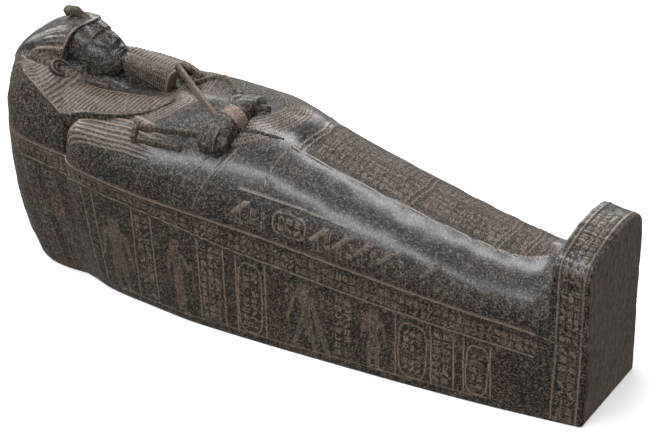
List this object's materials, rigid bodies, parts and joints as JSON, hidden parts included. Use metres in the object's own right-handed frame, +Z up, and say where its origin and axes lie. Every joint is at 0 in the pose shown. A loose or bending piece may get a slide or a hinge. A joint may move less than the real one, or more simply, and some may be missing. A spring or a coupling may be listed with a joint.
{
  "type": "stone sarcophagus",
  "caption": "Hollow polished granite sarcophagus shaped like a wrapped body with headcloth, beard and crossed hands, with a loose lid on a deep trough that ends in a square foot block.",
  "frame": {"origin": "middle of the length and width, on the plane of the flat underside", "axes": "+X from the head to the feet, +Y to the figure's left side, +Z up"},
  "size_m": [2.216, 0.598, 0.9272],
  "materials": {
    "trough_granite": "dark polished granite, engraved lines left rough and paler",
    "lid_granite": "dark polished granite, engraved lines left rough and paler"
  },
  "bodies": {
    "root": {"trough": "trough_granite", "lid": "lid_granite"}
  },
  "joints": []
}
